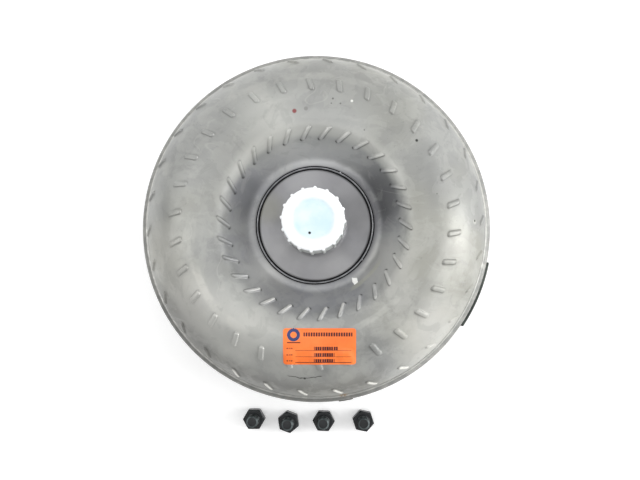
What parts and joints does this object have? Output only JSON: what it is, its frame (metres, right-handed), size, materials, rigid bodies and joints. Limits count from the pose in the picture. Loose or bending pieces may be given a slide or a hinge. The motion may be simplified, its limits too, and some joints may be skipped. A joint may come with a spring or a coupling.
{
  "type": "torque converter",
  "caption": "Welded automotive torque converter with lock-up clutch, spring damper, bladed turbine, one-way stator, capped pump hub and loose flexplate bolts.",
  "frame": {"origin": "centre of the end face of the engine-side pilot, on the rotation axis", "axes": "+Z along the rotation axis, from the engine-side pilot to the transmission-side pump hub; -Y towards the loose flexplate bolts"},
  "size_m": [0.2604, 0.2949, 0.159],
  "materials": {
    "shell_steel": "blasted steel with a mottled warm grey film",
    "cover_steel": "blasted steel",
    "machined_steel": "turned steel",
    "weld_steel": "rippled weld bead",
    "stamped_steel": "oiled pressed steel",
    "spring_steel": "dark drawn wire",
    "cast_aluminium": "as cast",
    "friction_lining": "paper friction ring",
    "seal_rubber": "matte",
    "bronze": "sintered bronze",
    "cap_plastic": "translucent white moulding",
    "label_paper": "printed sticker",
    "black_oxide": "black oxide",
    "weight_steel": "dark mill scale"
  },
  "bodies": {
    "housing": {"front_cover": "cover_steel", "pilot_hub": "machined_steel", "drive_lug_1": "cover_steel", "drive_lug_2": "cover_steel", "drive_lug_3": "cover_steel", "drive_lug_4": "cover_steel", "pump_shell": "shell_steel", "impeller_blades": "stamped_steel", "pump_hub": "machined_steel", "hub_weld": "weld_steel", "rim_weld": "weld_steel", "balance_weight": "weight_steel", "id_label": "label_paper"},
    "cap": {"hub_cap": "cap_plastic"},
    "turbine": {"turbine_shell": "stamped_steel", "turbine_blades": "stamped_steel", "turbine_hub": "machined_steel", "turbine_rivet_1": "machined_steel", "turbine_rivet_2": "machined_steel", "turbine_rivet_3": "machined_steel", "turbine_rivet_4": "machined_steel", "turbine_rivet_5": "machined_steel", "turbine_rivet_6": "machined_steel", "hub_o_ring": "seal_rubber", "damper_drive_ring": "stamped_steel", "thrust_washer": "bronze"},
    "damper": {"spring_retainer": "stamped_steel", "damper_spring_1": "spring_steel", "damper_spring_2": "spring_steel", "damper_spring_3": "spring_steel", "damper_spring_4": "spring_steel", "damper_spring_5": "spring_steel", "damper_spring_6": "spring_steel"},
    "piston": {"lockup_piston": "stamped_steel", "clutch_lining": "friction_lining"},
    "inner_race": {"inner_race": "machined_steel"},
    "stator": {"stator_wheel": "cast_aluminium", "overrun_outer_race": "machined_steel", "clutch_roller_1": "spring_steel", "clutch_roller_2": "spring_steel", "clutch_roller_3": "spring_steel", "clutch_roller_4": "spring_steel", "clutch_roller_5": "spring_steel", "clutch_roller_6": "spring_steel", "clutch_roller_7": "spring_steel", "clutch_roller_8": "spring_steel", "roller_spring_cage": "spring_steel", "stator_front_cap": "cast_aluminium", "stator_rear_cap": "cast_aluminium", "stator_snap_ring": "spring_steel"},
    "front_bearing": {"front_thrust_bearing": "machined_steel"},
    "rear_bearing": {"rear_thrust_bearing": "machined_steel"},
    "bolt_1": {"flexplate_bolt_1": "black_oxide"},
    "bolt_2": {"flexplate_bolt_2": "black_oxide"},
    "bolt_3": {"flexplate_bolt_3": "black_oxide"},
    "bolt_4": {"flexplate_bolt_4": "black_oxide"}
  },
  "joints": [
    {"name": "cap_pull", "type": "slide", "parent": "housing", "child": "cap", "axis": [0, 0, 1], "range_m": [0, 0.06]},
    {"name": "turbine_spin", "type": "hinge", "parent": "housing", "child": "turbine", "pos_m": [0, 0, 0.07], "axis": [0, 0, 1], "continuous": true},
    {"name": "damper_twist", "type": "hinge", "parent": "turbine", "child": "damper", "pos_m": [0, 0, 0.047], "axis": [0, 0, 1], "range_deg": [-8, 8], "stiffness_Nm_per_rad": 600, "deforming": ["damper_spring_1", "damper_spring_2", "damper_spring_3", "damper_spring_4", "damper_spring_5", "damper_spring_6"]},
    {"name": "piston_apply", "type": "slide", "parent": "damper", "child": "piston", "axis": [0, 0, -1], "range_m": [0, 0.0005]},
    {"name": "inner_race_spin", "type": "hinge", "parent": "housing", "child": "inner_race", "pos_m": [0, 0, 0.09], "axis": [0, 0, 1], "continuous": true},
    {"name": "stator_freewheel", "type": "hinge", "parent": "inner_race", "child": "stator", "pos_m": [0, 0, 0.09], "axis": [0, 0, 1], "continuous": true},
    {"name": "front_cage_spin", "type": "hinge", "parent": "housing", "child": "front_bearing", "pos_m": [0, 0, 0.0724], "axis": [0, 0, 1], "continuous": true},
    {"name": "rear_cage_spin", "type": "hinge", "parent": "housing", "child": "rear_bearing", "pos_m": [0, 0, 0.106], "axis": [0, 0, 1], "continuous": true},
    {"name": "bolt_1_lift", "type": "slide", "parent": "housing", "child": "bolt_1", "axis": [0, 0, 1], "range_m": [0, 0.05]},
    {"name": "bolt_2_lift", "type": "slide", "parent": "housing", "child": "bolt_2", "axis": [0, 0, 1], "range_m": [0, 0.05]},
    {"name": "bolt_3_lift", "type": "slide", "parent": "housing", "child": "bolt_3", "axis": [0, 0, 1], "range_m": [0, 0.05]},
    {"name": "bolt_4_lift", "type": "slide", "parent": "housing", "child": "bolt_4", "axis": [0, 0, 1], "range_m": [0, 0.05]}
  ],
  "couplings": [
    {"joint": "front_cage_spin", "follows": "turbine_spin", "ratio": 0.5},
    {"joint": "rear_cage_spin", "follows": "stator_freewheel", "ratio": 0.5}
  ]
}
